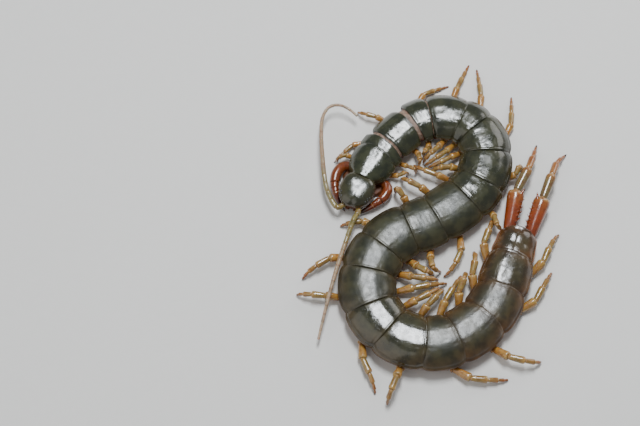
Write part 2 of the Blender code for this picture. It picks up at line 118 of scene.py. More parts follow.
# Fullness of the legs, and the ones too close to a neighbour for it: number and side
LEG_FULLNESS = 1.08
CLOSE_LEGS = ((2, 1), (6, 1), (7, 1), (9, 1), (9, -1))
HIP_CLEARANCE = 0.4
HIP_SWING = 0.6
KNEE_LIMIT = 8
KNEE_START = 0.12
KNEE_END_LIFT = 0.9
BULGE_SPAN = 5.5
KNEE_SPAN_SHARE = 1.41
KNEE_BULGE_SHARE = 0.75
KNEE_TIGHTNESS = 5.4
# Each pair, left leg then right: swing, reach, height and lean
LEG_POSES = (
    ((-34, 6, 8, 3), (37, 6, 8, -1)), ((-10, 6.5, 7.5, -3), (69, 13, 7.5, -5)),
    ((22, 5.5, 8, 2), (24, 11, 7, 24)), ((36, 5.5, 6.5, -1), (-73, 14.5, 8, 4)),
    ((32, 11, 6, 2), (-14, 17, 7.5, -6)), ((17, 13, 8, 16), (37, 17.5, 8, 5)),
    ((-6, 12.5, 4, 22), (60, 17.5, 8, 0)), ((-17, 10, 5.5, 13), (44, 7, 7.5, 13)),
    ((-12, 14.5, 7.5, 28), (-16, 8, 7.5, -22)), ((-20, 12.5, 6, 17), (-54, 15.5, 3.5, 34)),
    ((-11, 8, 8, 1), (3, 8.5, 7.5, -30)), ((-47, 11.5, 1.5, 2), (22, 10, 7, -19)),
    ((-50, 17, 8, -17), (18, 14, 5, -16)), ((12, 15, 3, 4), (5, 18, 8, -4)),
    ((-63, 18, 8, 30), (-6, 15, 5, -18)), ((2, 13.5, 8, 0), (-19, 14, 5.5, -7)),
    ((-65, 18.5, 8, -29), (-38, 18, 4, -9)), ((-35, 16.5, 7.5, -29), (-48, 13.5, 8, -5)),
    ((-75, 18.5, 7.5, 12), (-60, 14.5, 5.5, -16)), ((-71, 18.5, 7.5, 34), (-78, 16.5, 8, -9)),
)
TAIL_ROOT = (3.3, 3)
TAIL_ARTICLES = (
    (13.3, 2.3, 2.6), (8.6, 1.65, 1.55), (5.8, 1.3, 1.1),
    (3.4, 0.85, 0.7), (2, 0.55, 0.4), (1.2, 0.3, 0.15),
)
TAIL_BENDS = {1: (-3, -1, 1, -16, -8, 0), -1: (5, -15, 7, 3, 0, 0)}
TAIL_SLOPES = (8, 2, -22, -28, -26, -14)
# Rows of spines on the last leg: turn in degrees, and number of spines
TAIL_SPINES = ((40, 5), (8, 4), (-25, 4), (-62, 3))
# Lobes beside the last sternite: place behind it, offset, height and radius
COXOPLEURA_RINGS = (
    (-7.5, 3.6, 1.6, 0.3), (-7, 3.7, 1.7, 1), (-4.5, 3.9, 1.8, 1.45), (-1.5, 3.6, 1.75, 1.45),
    (0.4, 3.1, 1.5, 1.05), (1.6, 2.7, 1.3, 0.6), (2.4, 2.5, 1.2, 0.15),
)

# Mouthparts: place behind the brow, half width and height of the underside
MOUTH_SECTIONS = (
    (0, 0.8, 2.9), (2, 3.6, 2.8), (3.4, 3.4, 2.4), (5.4, 3, 1.2), (7.8, 3, 0.6), (9.8, 3, 0.6),
    (10.85, 3, 0.6),
)
MOUTH_TOP = 4.95
PALP_PATH = ((5, 2.6, 1.9), (2.6, 2.9, 2), (0.9, 1.9, 2.3), (0.2, 0.7, 2.6))
# Under the rim of the head plate: share of the way to it, and drop
HEAD_RIM = ((1, 0.18), (0.99, 0.34), (0.965, 0.44), (0.93, 0.42), (0.8, 0.3))
# Ocelli: share of the way to the rim, and degrees from the front
OCELLI = ((0.9, 47), (0.955, 57), (0.87, 60), (0.94, 70))
# Fang: place behind the brow, offset, height and radius
FANG_PATH = (
    (13, 7.1, 2, 1.5), (11.4, 8.3, 2.3, 1.65), (9.2, 8.5, 2.5, 1.65), (6.7, 7.8, 2.5, 1.45),
    (4.3, 6.4, 2.2, 1.2), (2.3, 4.8, 1.6, 0.85), (0.7, 3.2, 1.3, 0.55), (-0.5, 1.6, 1.1, 0.2),
)
FANG_ROOT_RADIUS = 1.2
FANG_ENDS = (0, 0.5, 0.585, 0.655, 1)
FEELER_HEIGHT = 3.75
# Feelers: ahead of the brow, offset and height
FEELER_LEFT = (
    (1.2, 2.4, 4), (4.5, 1.8, 4.5), (12, 1.5, 5), (20.5, 1.2, 5.2), (29, 1.2, 5),
    (37, 1.4, 4), (44, 1.7, 3),
)
FEELER_RIGHT = (
    (1, 4.2, 4), (-1.6, 7.2, 4.5), (-6, 10, 5.3), (-13.5, 12.9, 5.8), (-21, 15.4, 5.6),
    (-27, 16.7, 5.2), (-31.5, 15.9, 4.8), (-33.4, 13, 4.6), (-33, 9.6, 4.3), (-31.5, 6.4, 4),
)
FEELER_RADII = (0.95, 0.42)
FEELER_ARTICLES = 17
BARE_ARTICLES = 5

# Along an article: place, share of its radius, and joint skin (0) or cuticle (1)
ARTICLE_PROFILE = (
    (-0.06, 0.5, 0), (-0.03, 0.62, 0), (0, 0.68, 0), (0.02, 0.7, 0), (0.025, 0.73, 1), (0.055, 0.775, 1),
    (0.1, 0.815, 1), (0.18, 0.86, 1), (0.3, 0.9, 1), (0.45, 0.935, 1), (0.6, 0.98, 1), (0.72, 1.02, 1),
    (0.81, 1.045, 1), (0.88, 1.04, 1), (0.93, 0.995, 1), (0.965, 0.92, 1), (0.985, 0.82, 1), (0.99, 0.72, 1),
)
FEELER_PROFILE = (
    (-0.08, 0.6, 0), (-0.03, 0.78, 0), (0.02, 0.82, 0), (0.03, 0.88, 1), (0.08, 0.93, 1), (0.22, 0.95, 1),
    (0.45, 0.96, 1), (0.7, 0.98, 1), (0.88, 1.01, 1), (0.95, 1, 1), (0.985, 0.95, 1), (0.995, 0.88, 1),
    (0.97, 0.75, 1),
)
CLAW_PROFILE = (
    (-0.06, 0.6, 0), (0, 0.85, 0), (0.04, 0.95, 1), (0.15, 1, 1), (0.35, 0.88, 1), (0.55, 0.68, 1),
    (0.75, 0.44, 1), (0.9, 0.22, 1), (1, 0.05, 1),
)
SPINE_PROFILE = (
    (-0.25, 1.25), (0, 1.15), (0.15, 0.9), (0.45, 0.62), (0.75, 0.34), (0.93, 0.14), (1, 0.03),
)
SHARP_EDGE = 50

# Camera: floor point in the middle of the picture, distance, elevation and lens
AIM = (-35.53, 5.02)
CAMERA_DISTANCE = 520
CAMERA_ELEVATION = 66
LENS = 93.6
# Lights: name, place, size, power and colour
LIGHTS = (
    ("key", (10, 190, 575), (125, 260), 4.4, (0.93, 0.97, 1)),
    ("fill", (-420, -260, 380), (700, 700), 1.6, (1, 0.97, 0.92)),
    ("back", (380, 380, 260), (300, 300), 1, (1, 0.98, 0.95)),
)
SKY = (0.8, 0.84, 0.9, 1)
SKY_STRENGTH = 0.3
# Reach and depth of the floor, in metres
FLOOR_REACH = 3
FLOOR_DROP = 0.00005


def running(values):
    """Running totals, from 0."""
    return np.concatenate(([0.0], np.cumsum(values)))


def curve(rows, x, column=1):
    """Smooth value at x through rows whose first column is x."""
    xs = np.array([row[0] for row in rows], float)
    ys = np.array([row[column] for row in rows], float)
    steps = np.diff(ys) / np.diff(xs)
    slopes = np.concatenate(([steps[0]], (steps[1:] + steps[:-1]) / 2, [steps[-1]]))
    slopes[1:-1][steps[1:] * steps[:-1] <= 0] = 0
    x = np.clip(x, xs[0], xs[-1])
    k = np.clip(np.searchsorted(xs, x, side="right") - 1, 0, len(xs) - 2)
    span = xs[k + 1] - xs[k]
    t = (x - xs[k]) / span
    start = ys[k] * (1 + 2 * t) * (1 - t) ** 2 + span * slopes[k] * t * (1 - t) ** 2
    return start + ys[k + 1] * t * t * (3 - 2 * t) + span * slopes[k + 1] * t * t * (t - 1)


def between(rows, number):
    """Value at a number, straight between rows."""
    return np.interp(number, *zip(*rows))


def trace_midline():
    """Fine table of the midline: distance behind the brow, x, y and heading."""
    ends = running([HEAD_LENGTH] + [sum(row[1]) for row in TRUNK])
    turned = running([HEAD_TURN] + [row[2] for row in TRUNK])
    s = np.arange(-60, ends[-1] + 20, 0.02)
    heading = np.radians(START_HEADING + np.interp(s, ends, turned))
    steps = np.diff(s)
    middle = (heading[1:] + heading[:-1]) / 2
    x = running(np.cos(middle) * steps)
    y = running(np.sin(middle) * steps)
    x += START[0] - np.interp(0, s, x)
    y += START[1] - np.interp(0, s, y)
    return s, x, y, heading


LINE_S, LINE_X, LINE_Y, LINE_HEADING = trace_midline()
STARTS = HEAD_LENGTH + running([length for row in TRUNK for length in row[1]])
LAST = len(STARTS) - 1
TAIL_END = STARTS[-1]


def stacked(*parts):
    """Arrays side by side along a new last axis."""
    return np.stack(np.broadcast_arrays(*parts), axis=-1).astype(float)


def place(s, offset, z):
    """Points beside the midline: offset is to the animal's left, z is up."""
    heading = np.interp(s, LINE_S, LINE_HEADING)
    x = np.interp(s, LINE_S, LINE_X) + offset * np.sin(heading)
    y = np.interp(s, LINE_S, LINE_Y) - offset * np.cos(heading)
    return stacked(x, y, z)


def backward(s):
    """Direction from head to tail."""
    heading = np.interp(s, LINE_S, LINE_HEADING)
    return np.array((math.cos(heading), math.sin(heading), 0.0))


def outward(s, side):
    """Level direction away from the midline on one side."""
    return np.cross(backward(s), UP) * side


def size_at(s):
    """Half width and height of the trunk at s."""
    number = np.interp(s, STARTS, np.arange(len(STARTS))) + 0.5
    return between(HALF_WIDTHS, number), between(HEIGHTS, number)


def unit(vector):
    """The vector at length 1."""
    return vector / np.linalg.norm(vector, axis=-1, keepdims=True)


def ripple(points, wavelength, seed):
    """Gentle unevenness, about -1 to 1, from a few crossing waves."""
    waves = np.random.default_rng(seed)
    total = np.zeros(points.shape[:-1])
    for _ in range(9):
        direction = unit(waves.normal(size=3))
        pace = 2 * math.pi / (wavelength * waves.uniform(0.7, 1.5))
        total += np.sin(points @ direction * pace + waves.uniform(0, 2 * math.pi))
    return total / 3


def bell(x, middle, width):
    """Smooth bump of height 1."""
    return np.exp(-(((x - middle) / width) ** 2))


def ease(x, low, high):
    """Smooth step from 0 at low to 1 at high."""
    t = np.clip((x - low) / (high - low), 0, 1)
    return t * t * (3 - 2 * t)


def grid_normals(points):
    """Unit normals of a grid of points."""
    return unit(np.cross(np.gradient(points, axis=0), np.gradient(points, axis=1)) + 1e-12)


def upward_normals(points):
    """Unit normals on the upper side of a grid of points."""
    normals = grid_normals(points)
    return normals if normals[..., 2].mean() > 0 else -normals


def circle(count, first, second):
    """Points round a circle that starts at first and turns towards second."""
    turns = 2 * math.pi * np.arange(count) / count
    return np.outer(np.cos(turns), first) + np.outer(np.sin(turns), second)


def linked(name, data):
    """New object in the scene."""
    item = bpy.data.objects.new(name, data)
    bpy.context.scene.collection.objects.link(item)
    return item


class Shape:
    """Grids of points gathered into one mesh object."""

    def __init__(self):
        self.points, self.marks, self.faces, self.slots = [], [], [], []
        self.total = 0

    def grid(self, points, marks=0, slots=0, ends=None):
        """Closed body through rings of points, with one slot or one for each row of quads.

        ends lists the faces that close both ends, by column, where that isn't one face.
        """
        rows, columns = points.shape[:2]
        ids = self.total + np.arange(rows * columns).reshape(rows, columns)
        there = np.roll(ids, -1, axis=1)
        quads = np.stack((ids[:-1], there[:-1], there[1:], ids[1:]), axis=-1)
        slots = np.broadcast_to(slots, rows - 1)
        faces = quads.reshape(-1, 4).tolist()
        self.slots += np.repeat(slots, columns).tolist()
        for row, turn in ((0, -1), (-1, 1)):
            caps = [ids[row][list(cap)][::turn].tolist() for cap in ends or [range(columns)]]
            faces += caps
            self.slots += [int(slots[row])] * len(caps)
        corners = points.reshape(-1, 3)[quads - self.total]
        areas = np.cross(corners[..., 2, :] - corners[..., 0, :], corners[..., 3, :] - corners[..., 1, :])
        if np.sum(areas * (corners.mean(axis=2) - corners.mean(axis=(0, 1, 2)))) < 0:
            faces = [face[::-1] for face in faces]
        self.faces += faces
        self.points.append(points.reshape(-1, 3))
        self.marks.append(np.broadcast_to(np.asarray(marks, float), points.shape).reshape(-1, 3))
        self.total += rows * columns

    def shell(self, top, thickness, marks=0):
        """Closed plate under a grid of points, with a rounded edge."""
        normals = upward_normals(top)
        low = top - normals * thickness
        middles = (top + low) / 2
        half = thickness / 2
        sides = []
        for edge, inner in ((-1, -2), (0, 1)):
            sides.append(middles[:, edge] + unit(top[:, edge] - top[:, inner]) * half)
        rings = np.concatenate((top, sides[0][:, None], low[:, ::-1], sides[1][:, None]), axis=1)
        ends = []
        for edge, inner in ((0, 1), (-1, -2)):
            rim = middles[edge] + unit(middles[edge] - middles[inner]) * half
            rise = normals[edge] * half / 2
            right = (sides[0][edge] + rim[-1]) / 2
            left = (sides[1][edge] + rim[0]) / 2
            ends.append(np.concatenate((rim + rise, right[None], (rim - rise)[::-1], left[None])))
        rings = np.concatenate((ends[0][None], rings, ends[1][None]))
        marks = np.broadcast_to(np.asarray(marks, float), top.shape)
        marks = np.concatenate((marks, marks[:, -1:], marks[:, ::-1], marks[:, :1]), axis=1)
        marks = np.concatenate((marks[:1], marks, marks[-1:]))
        n = top.shape[1]
        caps = [(i, i + 1, 2 * n - i - 1, 2 * n - i) for i in range(n - 1)]
        self.grid(rings, marks, ends=caps + [(n - 1, n, n + 1), (2 * n, 2 * n + 1, 0)])

    def make(self, name, looks, nodes=()):
        """The finished object, riding on the body."""
        mesh = bpy.data.meshes.new(name)
        points = np.concatenate(self.points)
        points[:, 2] = np.maximum(points[:, 2], 0)
        mesh.from_pydata((points * MM).tolist(), [], self.faces)
        layer = mesh.attributes.new("mark", "FLOAT_VECTOR", "POINT")
        layer.data.foreach_set("vector", np.concatenate(self.marks).ravel())
        for look in looks:
            mesh.materials.append(MATERIALS[look])
        mesh.polygons.foreach_set("material_index", self.slots)
        mesh.shade_smooth()
        mesh.set_sharp_from_angle(angle=math.radians(SHARP_EDGE))
        piece = linked(name, mesh)
        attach(piece, "root")
        if nodes:
            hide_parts(*nodes)


# Materials


class Look:
    """One material: its nodes, and its shader with the fixed values set."""

    def __init__(self, name, **fixed):
        self.material = bpy.data.materials.new(name)
        self.material.use_nodes = True
        self.tree = self.material.node_tree
        self.shader = self.tree.nodes["Principled BSDF"]
        for key, value in fixed.items():
            self.shader.inputs[key.replace("_", " ")].default_value = value

    def add(self, kind, inputs=None, **settings):
        """Outputs of a new node with its settings, and its inputs set or linked."""
        node = self.tree.nodes.new("ShaderNode" + kind)
        for name, value in settings.items():
            setattr(node, name, value)
        for name, value in (inputs or {}).items():
            if isinstance(value, bpy.types.NodeSocket):
                self.tree.links.new(value, node.inputs[name])
            else:
                node.inputs[name].default_value = value
        return node.outputs

    def mix(self, factor, first, second):
        """Colour between two others."""
        first, second = [(*item, 1) if isinstance(item, tuple) else item for item in (first, second)]
        return self.add("Mix", {0: factor, 6: first, 7: second}, data_type="RGBA")[2]

    def spread(self, value, low, high, to_low=0, to_high=1):
        """Value moved smoothly from one range to another."""
        inputs = {0: value, 1: low, 2: high, 3: to_low, 4: to_high}
        return self.add("MapRange", inputs, interpolation_type="SMOOTHSTEP")[0]

    def plus(self, first, second, way="ADD"):
        """Sum of two values, or product, kept between 0 and 1."""
        return self.add("Math", {0: first, 1: second}, operation=way, use_clamp=True)[0]

    def times(self, first, second):
        """Product of two values."""
        return self.plus(first, second, "MULTIPLY")

    def grain(self, spacing, detail=3, rough=0.55):
        """Noise with features of about that size in millimetres."""
        inputs = {"Scale": 1 / MM / spacing, "Detail": detail, "Roughness": rough}
        inputs["Vector"] = self.add("TexCoord")["Object"]
        return self.add("TexNoise", inputs)[0]

    def ramp(self, value, stops):
        """Colour read from stops of (place, colour)."""
        output = self.add("ValToRGB", {0: value})[0]
        elements = output.node.color_ramp.elements
        while len(elements) < len(stops):
            elements.new(0.5)
        for element, (position, colour) in zip(elements, stops):
            element.position = position
            element.color = (*colour, 1)
        return output

    def marks(self):
        """The three marks that each vertex carries."""
        mark = self.add("Attribute", attribute_name="mark")["Vector"]
        return self.add("SeparateXYZ", {0: mark})

    def finish(self, colour, roughness, height, depth):
        """The material with colour, roughness and a bump that is depth millimetres deep."""
        bump = self.add("Bump", {"Height": height, "Distance": depth * MM, "Strength": 1})[0]
        for name, value in (("Base Color", colour), ("Roughness", roughness), ("Normal", bump)):
            self.tree.links.new(value, self.shader.inputs[name])
        return self.material


def plate_material(name, low, high, coat):
    """Dark olive cuticle, browner towards the edges of the last tergites, with a painted highlight line along
    the side rims of the last one.
    """
    look = Look(name, Coat_Weight=coat, Coat_Roughness=0.1)
    along, across, tone = look.marks()
    cloud = look.spread(look.grain(4), 0.35, 0.65)
    olive = look.mix(cloud, (0.016, 0.019, 0.01), (0.034, 0.037, 0.018))
    brown = look.mix(cloud, (0.06, 0.022, 0.007), (0.13, 0.05, 0.014))
    side = look.spread(across, 0.45, 1.05)
    ends = look.plus(look.spread(along, 0.7, 1.05), look.spread(along, 0.35, 0))
    edge = look.times(look.plus(side, look.times(ends, 0.45)), tone)
    edge = look.plus(edge, look.times(look.spread(across, 0.955, 1), 0.35))
    edge = look.plus(edge, look.times(tone, 0.25))
    # Pale pink line along the side rims of the last tergite: a painted highlight on its raised margin.
    rim = look.times(look.spread(across, 0.955, 0.985), look.spread(tone, 0.8, 0.9))
    colour = look.mix(rim, look.mix(edge, olive, brown), (0.42, 0.22, 0.15))
    fleck = look.spread(look.grain(0.5, 2), 0.6, 0.75, 0, 0.35)
    colour = look.mix(fleck, colour, (0.012, 0.013, 0.009))
    roughness = look.spread(look.grain(1.6, 4), 0.3, 0.7, low, high)
    height = look.plus(look.grain(0.35, 4, 0.6), look.grain(1.5))
    return look.finish(colour, roughness, height, 0.05)


def skin_material():
    """Soft pleated skin of the flanks and joints: pale brown, pinkish at the sides."""
    look = Look("soft_skin", Subsurface_Weight=0.15, Subsurface_Scale=0.6 * MM)
    _, side, _ = look.marks()
    cloud = look.spread(look.grain(1.2, 4, 0.65), 0.36, 0.64)
    dorsal = look.mix(cloud, (0.11, 0.062, 0.04), (0.3, 0.2, 0.15))
    flank = look.mix(cloud, (0.17, 0.065, 0.04), (0.36, 0.17, 0.11))
    roughness = look.spread(cloud, 0.3, 0.7, 0.38, 0.55)
    return look.finish(look.mix(side, dorsal, flank), roughness, look.grain(0.3, 5, 0.65), 0.08)


def limb_material(name, stops, dark=(0.14, 0.05, 0.013), end_colour_and_highlight=(0.5, 0.32, 0.11), gloss=(0.14, 0.26),
                  soft=0.3, coat=0.6, depth=0.02):
    """Glossy cuticle whose colour runs along the limb, paler at the end of each article: partly the joint's
    own paler colour, partly a painted highlight on the swollen joint ends.
    """
    look = Look(name, Coat_Weight=coat, Coat_Roughness=0.06, Subsurface_Weight=soft,
                Subsurface_Scale=0.5 * MM)
    along, rim, tone = look.marks()
    # Paler colour at each article's end: partly the joint's own colour, partly a painted highlight on its
    # swelling.
    colour = look.mix(look.times(rim, 0.55), look.ramp(along, stops), end_colour_and_highlight)
    cloud = look.spread(look.grain(1.5, 4, 0.65), 0.42, 0.66, 0, 0.6)
    colour = look.mix(cloud, colour, dark)
    colour = look.mix(look.times(tone, 0.35), colour, (0.17, 0.14, 0.035))
    roughness = look.spread(look.grain(0.8), 0.3, 0.7, *gloss)
    return look.finish(colour, roughness, look.grain(0.22, 4, 0.6), depth)


def plain_material(name, low, high, gloss, spacing=0.8, detail=4, **fixed):
    """Material of two close colours."""
    look = Look(name, **fixed)
    cloud = look.grain(spacing)
    roughness = look.spread(cloud, 0.3, 0.7, *gloss)
    return look.finish(look.mix(cloud, low, high), roughness, look.grain(spacing / 3, detail), 0.02)


def make_materials():
    """Every material by name."""
    amber = (
        (0, (0.22, 0.075, 0.015)), (0.1, (0.34, 0.145, 0.026)), (0.36, (0.4, 0.205, 0.045)),
        (0.43, (0.27, 0.165, 0.042)), (0.55, (0.24, 0.155, 0.042)), (0.65, (0.36, 0.2, 0.055)),
        (0.7, (0.27, 0.15, 0.04)), (0.82, (0.32, 0.15, 0.04)), (0.88, (0.26, 0.09, 0.024)),
        (0.97, (0.2, 0.05, 0.016)),
    )
    red = (
        (0, (0.17, 0.028, 0.004)), (0.2, (0.22, 0.036, 0.004)), (0.345, (0.25, 0.075, 0.015)),
        (0.4, (0.13, 0.095, 0.035)), (0.55, (0.15, 0.11, 0.042)), (0.64, (0.3, 0.13, 0.032)),
        (0.76, (0.3, 0.11, 0.025)), (1, (0.24, 0.065, 0.018)),
    )
    fang = (
        (0, (0.13, 0.03, 0.008)), (0.35, (0.19, 0.044, 0.01)), (0.62, (0.16, 0.031, 0.008)),
        (0.8, (0.07, 0.014, 0.005)), (0.93, (0.012, 0.008, 0.006)),
    )
    feeler = (
        (0, (0.26, 0.17, 0.05)), (0.12, (0.2, 0.165, 0.05)), (0.27, (0.2, 0.16, 0.06)),
        (0.36, (0.3, 0.2, 0.11)), (0.7, (0.36, 0.25, 0.16)), (1, (0.4, 0.29, 0.2)),
    )
    return {
        "plate": plate_material("tergite_cuticle", 0.13, 0.25, 0.45),
        "dull": plate_material("dull_tergite_cuticle", 0.28, 0.42, 0.1),
        "skin": skin_material(),
        "leg": limb_material("leg_cuticle", amber),
        "tail": limb_material(
            "last_leg_cuticle", red, (0.11, 0.02, 0.005), (0.5, 0.28, 0.1), (0.16, 0.28), 0.1, 0.8
        ),
        "fang": limb_material("forcipule_cuticle", fang, (0.08, 0.017, 0.006), (0.17, 0.036, 0.01)),
        "feeler": limb_material("feeler_base_cuticle", feeler, (0.1, 0.07, 0.025), (0.3, 0.22, 0.08)),
        "velvet": limb_material(
            "feeler_velvet", feeler, (0.16, 0.1, 0.06), (0.34, 0.24, 0.15), (0.48, 0.62), coat=0.1, depth=0.05
        ),
        "joint": plain_material(
            "joint_skin", (0.26, 0.14, 0.05), (0.4, 0.24, 0.1), (0.26, 0.4),
            Subsurface_Weight=0.2, Subsurface_Scale=0.5 * MM,
        ),
        "claw": plain_material(
            "claw_horn", (0.012, 0.008, 0.006), (0.045, 0.018, 0.01), (0.16, 0.28), Coat_Weight=0.4
        ),
        "belly": plain_material(
            "sternite_cuticle", (0.075, 0.048, 0.02), (0.13, 0.085, 0.035), (0.24, 0.38), 2.5, Coat_Weight=0.2
        ),
        "mouth": plain_material(
            "mouthpart_cuticle", (0.07, 0.02, 0.007), (0.13, 0.04, 0.012), (0.4, 0.55), 1.5,
            Specular_IOR_Level=0.2,
        ),
        "eye": plain_material(
            "ocellus", (0.006, 0.006, 0.007), (0.014, 0.013, 0.012), (0.05, 0.1),
            Coat_Weight=1, Coat_Roughness=0.03,
        ),
    }


MATERIALS = make_materials()


# Trunk


def reach_of(points):
    """Distance along a row of points to each of them."""
    return running(np.linalg.norm(np.diff(points, axis=0), axis=1))


def outline_curve(rows, count, crowding=1):
    """Half outline through rows of (across, up), evenly spaced or crowded to its end."""
    chords = reach_of(np.array(rows) * OUTLINE_SIZE)
    mirror = ((-chords[1], -rows[1][0], rows[1][1]),)
    table = mirror + tuple((c, *row) for c, row in zip(chords, rows))
    t = (1 - (1 - np.linspace(0, 1, count)) ** crowding) * chords[-1]
    return curve(table, t, 1), curve(table, t, 2)


def make_tergite(number, nodes):
    """Arched dorsal plate with two long sutures, rolled rims and a lip behind."""
    front, end = STARTS[number - 1], STARTS[number]
    length = end - front
    joints = OPEN_JOINTS | END_JOINTS
    begin = front + joints.get(number - 1, FRONT_JOINT) / 2
    stop = end - joints.get(number, REAR_JOINT) / 2
    share = np.linspace(0, 1, 46 if length > LONG_PLATE else 32)
    share -= 0.055 * np.sin(2 * math.pi * share)
    x, z = outline_curve(PLATE_OUTLINE, 34, 1.3)
    across = np.concatenate((-x[:0:-1], x))
    up = np.concatenate((z[:0:-1], z))
    bow = (1.3 if number == LAST else 0.35) * (1 - across ** 2) * ease(share, 0.5, 1)[:, None]
    s = begin + share[:, None] * (stop - begin) + bow
    u = (s - front) / length
    profile = END_PROFILES.get(number, TERGITE_PROFILE)
    wide, high = curve(profile, u, 1), curve(profile, u, 2)
    width, height = size_at(s)
    corner = 1 - 0.05 * (bell(share, 0, 0.05) + bell(share, 1, 0.05))[:, None]
    offset = across * width * wide * corner
    lifted = (MARGIN_HEIGHT + (up - MARGIN_HEIGHT) * high) * height
    top = place(s, offset, lifted)
    normals = upward_normals(top)
    side = np.abs(across)
    run = share[:, None]
    rim = 0.5 + 0.5 * ease(number, 3, 9)
    out = np.zeros_like(s)
    out += rim * (0.15 * bell(side, 0.985, 0.02) * (up >= 0.47) - 0.1 * bell(side, 0.945, 0.018))
    if 2 < number < LAST:
        spread = 0.33 + 0.035 * (2 * run - 1) ** 2
        out -= 0.07 * bell(side, spread, 0.014) * ease(run, 0.02, 0.1) * (1 - ease(run, 0.93, 0.99))
    if number == LAST:
        out -= 0.1 * bell(side, 0, 0.03) * ease(run, 0.05, 0.2) * (1 - ease(run, 0.7, 0.95))
    out += 0.05 * bell(run, 0.975, 0.018) - 0.04 * bell(run, 0.935, 0.018)
    out -= 0.04 * bell(run, 0.085, 0.02) * (number > 1)
    fade = 1 - 0.7 * side ** 4
    out += (0.02 * ripple(top, 3.4, 100 + number) + 0.008 * ripple(top, 0.9, 200 + number)) * fade
    marks = stacked(np.clip(u, 0, 1.05), side, between(TONES, number))
    shape = Shape()
    shape.shell(top + normals * out[..., None], PLATE_THICKNESS, marks)
    look = "dull" if number in DULL_TERGITES else "plate"
    shape.make(f"tergite_{number:02d}", [look], nodes)


def make_skin():
    """Soft body under the plates: flanks with folds, and pleats at each joint."""
    s = np.arange(HEAD_LENGTH - 0.8, TAIL_END + 0.05, 0.3)
    number = np.clip(np.searchsorted(STARTS, s, side="right"), 1, LAST)
    front, end = STARTS[number - 1], STARTS[number]
    u = np.clip((s - front) / (end - front), 0, 1)
    wide, high = np.empty_like(s), np.empty_like(s)
    for n in range(1, LAST + 1):
        here = number == n
        profile = END_SKINS.get(n, SKIN_PROFILE)
        wide[here], high[here] = curve(profile, u[here], 1), curve(profile, u[here], 2)
    for joint, strip in OPEN_JOINTS.items():
        near = bell(s, STARTS[joint], strip)
        wide += (0.9 - wide) * near
        high += (0.96 - high) * near
    x, z = outline_curve(SKIN_OUTLINE, 56)
    across = np.concatenate((x, -x[-2:0:-1]))
    up = np.concatenate((z, z[-2:0:-1]))
    width, height = size_at(s)
    pinch = 1 - 0.16 * np.minimum(1, bell(s, front, 1) + bell(s, end, 1))
    share = np.where(up > 0.45, wide[:, None], np.minimum(pinch, wide + 0.08)[:, None])
    offset = across * width[:, None] * share
    raised = MARGIN_HEIGHT + (up - MARGIN_HEIGHT) * high[:, None]
    lifted = np.where(up > MARGIN_HEIGHT, raised, up) * height[:, None]
    points = place(s[:, None], offset, np.maximum(lifted, 0.22))
    normals = grid_normals(points)
    middle = place(s[:, None], 0, 3.5)
    flip = np.sign(np.sum(normals * (points - middle), axis=-1, keepdims=True))
    pleats = np.sin(2 * math.pi * s / 0.75)[:, None] * (bell(s, front, 1.1) + bell(s, end, 1.1))[:, None]
    out = (0.09 * pleats + 0.06 * ripple(points, 1.6, 7)) * ease(up, 0.05, 0.12)
    points += normals * flip * out[..., None]
    shape = Shape()
    shape.grid(points, stacked(u[:, None], 1 - ease(up, 0.45, 0.6), 0))
    shape.make("trunk_skin", ["skin"])


def make_sternites():
    """Plates of the belly, each with two long sutures."""
    shape = Shape()
    share = np.linspace(0, 1, 18)[:, None]
    across = np.linspace(-1, 1, 27)[None]
    for number in range(1, LAST + 1):
        front, end = STARTS[number - 1], STARTS[number]
        s = front + 0.5 + share * (end - front - 0.9)
        width = size_at(s)[0] * 0.6 * (1 - 0.1 * np.abs(2 * share - 1) ** 3)
        if number == LAST:
            width *= 1 - 0.45 * share
        groove = bell(np.abs(across), 0.45, 0.05) * (number > 1)
        z = 0.05 + 0.1 * across ** 6 + 0.06 * groove + 0.1 * bell(share, 0, 0.06)
        bottom = place(s, across * width, z)
        shape.shell(bottom[:, ::-1] + (0, 0, 0.3), 0.3)
    shape.make("sternites", ["belly"])


def make_spiracles():
    """Breathing holes of the flanks, each in an oval rim, with near-black inner rings as painted shade in the
    opening.
    """
    shape = Shape()
    for number in SPIRACLE_TERGITES:
        for side in SIDES:
            middle, normal = wall(number, side, (0.08, 0.38))
            along = backward(STARTS[number - 1] + 2)
            ring = circle(24, along, np.cross(normal, along) * 0.55)
            rings = [middle + normal * (lift + 0.35) + ring * radius for radius, lift in SPIRACLE_RINGS]
            # The inner rings take the near-black claw material: painted shade where the opening would be
            # deep.
            shape.grid(np.array(rings), slots=(0, 0, 0, 1, 1))
    shape.make("spiracles", ["mouth", "claw"])


def wall(number, side, stretch):
    """Middle of the flank that carries a limb of a tergite, and its outward normal."""
    front, end = STARTS[number - 1], STARTS[number]
    corners = []
    for s in (front + share * (end - front) for share in stretch):
        width, height = size_at(s)
        corners += [place(s, side * across * width, up * height) for across, up in (WALL_TOP, WALL_FOOT)]
    normal = unit(np.cross(corners[3] - corners[0], corners[2] - corners[1]))
    return np.mean(corners, axis=0), normal * np.sign(normal @ outward(front, side))


# Limbs


def spread_along(points, shares):
    """Points at shares of the way along a row of points; straight on beyond its ends."""
    reach = reach_of(points)
    distances = shares * reach[-1]
    found = np.stack([np.interp(distances, reach, points[:, axis]) for axis in range(3)], axis=-1)
    before = np.minimum(distances, 0)[:, None] * unit(points[1] - points[0])
    after = np.maximum(distances - reach[-1], 0)[:, None] * unit(points[-1] - points[-2])
    return found + before + after


def smooth_path(points):
    """Fine points along a smooth curve through the given ones."""
    points = np.array(points)
    ends = np.concatenate(([points[0] * 2 - points[1]], points, [points[-1] * 2 - points[-2]]))
    fine = []
    for a, b, c, d in zip(ends, ends[1:], ends[2:], ends[3:]):
        for t in np.arange(12) / 12:
            fine.append(0.5 * (2 * b + (c - a) * t + (2 * a - 5 * b + 4 * c - d) * t * t
                               + (3 * b - a - 3 * c + d) * t ** 3))
    return np.array(fine + [points[-1]])


